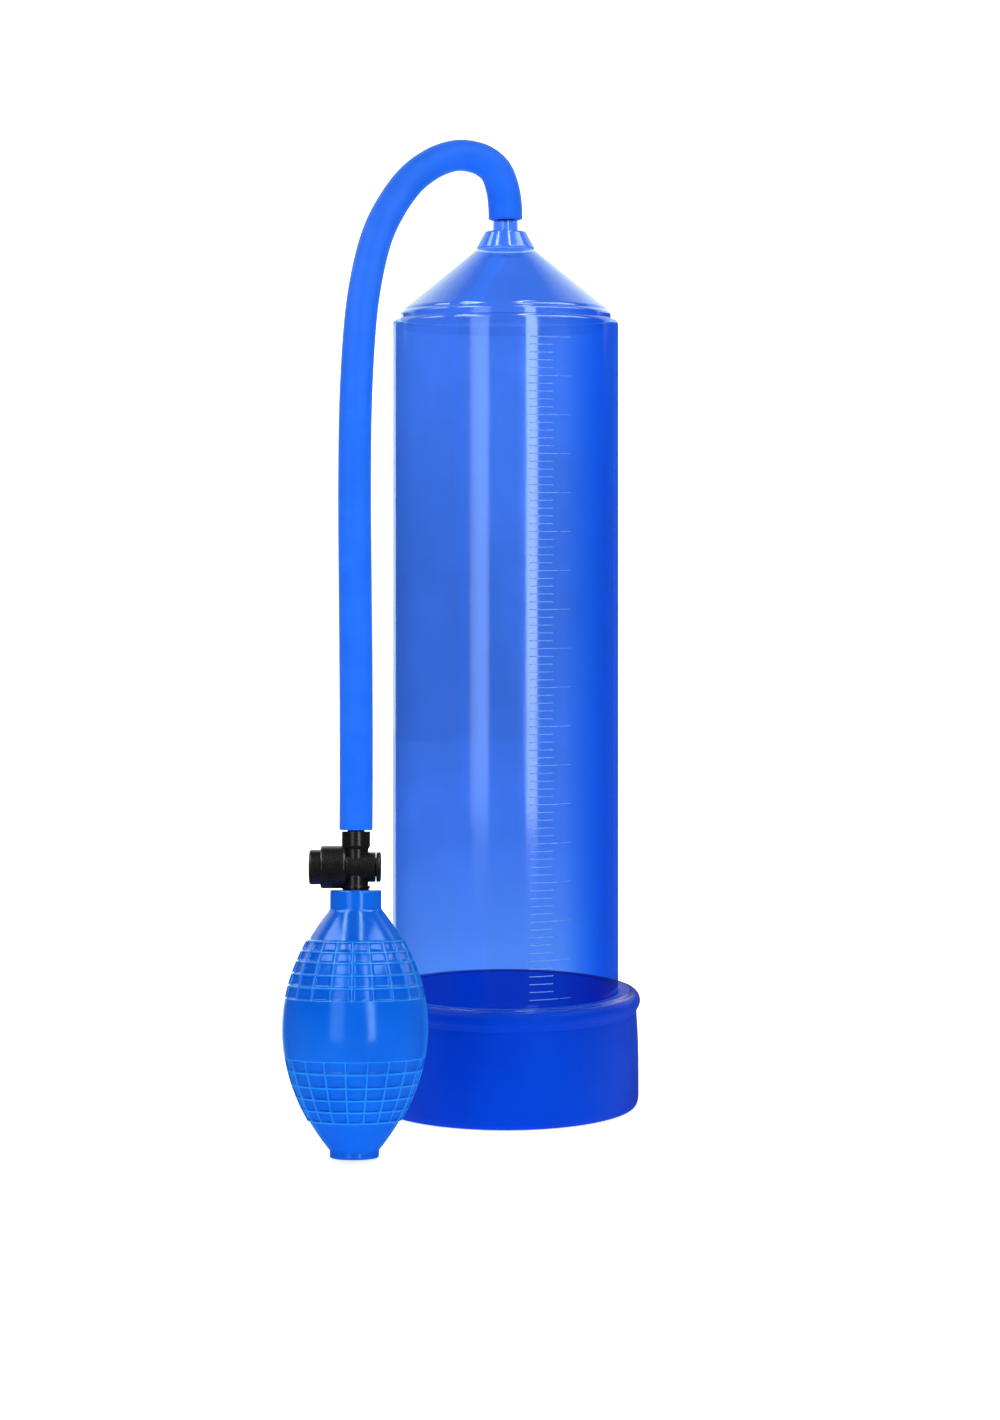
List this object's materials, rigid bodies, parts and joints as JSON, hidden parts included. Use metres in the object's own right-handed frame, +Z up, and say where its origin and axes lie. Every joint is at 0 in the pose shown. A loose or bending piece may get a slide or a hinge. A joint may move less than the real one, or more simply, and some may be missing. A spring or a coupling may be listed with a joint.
{
  "type": "hand bulb vacuum pump",
  "caption": "Clear graduated vacuum cylinder with a soft sealing sleeve, joined by a flexible hose to a squeeze bulb with a push-button release valve.",
  "frame": {"origin": "centre of the footprint on the surface that it stands on, measured without the hose", "axes": "+Z up along the cylinder; -Y towards the front, where the bulb stands; +X to the right, from the bulb towards the cylinder"},
  "size_m": [0.0904, 0.1178, 0.2556],
  "materials": {
    "clear_blue_plastic": "polished, transparent",
    "deep_blue_silicone": "satin",
    "hose_silicone": "satin",
    "bulb_rubber": "glossy",
    "black_plastic": "moulded, satin",
    "seal_rubber": "matte",
    "steel": "polished"
  },
  "bodies": {
    "sleeve": {"sealing_sleeve": "deep_blue_silicone"},
    "cylinder": {"cylinder_tube": "clear_blue_plastic", "cylinder_cap": "clear_blue_plastic", "hose_connector": "clear_blue_plastic", "hose": "hose_silicone"},
    "hand_bulb": {"squeeze_bulb": "bulb_rubber", "valve_body": "black_plastic", "valve_end_cap": "black_plastic", "end_cap_seal": "seal_rubber", "button_spring": "steel", "inlet_retainer": "black_plastic", "exhaust_fitting": "black_plastic", "exhaust_retainer": "black_plastic"},
    "button": {"release_button": "black_plastic", "button_plunger": "black_plastic", "plunger_seal": "seal_rubber"},
    "inlet_check": {"inlet_ball": "steel"},
    "exhaust_check": {"exhaust_ball": "steel"}
  },
  "joints": [
    {"name": "sleeve_pull_off", "type": "slide", "parent": "sleeve", "child": "cylinder", "axis": [0, 0, 1], "range_m": [0, 0.04]},
    {"name": "hose_swing", "type": "hinge", "parent": "cylinder", "child": "hand_bulb", "pos_m": [-0.0241, -0.0099, 0.225], "axis": [0, 1, 0], "range_deg": [-30, 30], "deforming": ["hose"]},
    {"name": "release_button_press", "type": "slide", "parent": "hand_bulb", "child": "button", "axis": [1, 0, 0], "range_m": [0, 0.0022], "stiffness_N_per_m": 600, "springref_m": -0.001, "deforming": ["button_spring"]},
    {"name": "inlet_ball_lift", "type": "slide", "parent": "hand_bulb", "child": "inlet_check", "axis": [0, 0.1045, 0.9945], "range_m": [0, 0.001]},
    {"name": "exhaust_ball_lift", "type": "slide", "parent": "hand_bulb", "child": "exhaust_check", "axis": [0, 0.1045, 0.9945], "range_m": [0, 0.001]}
  ]
}
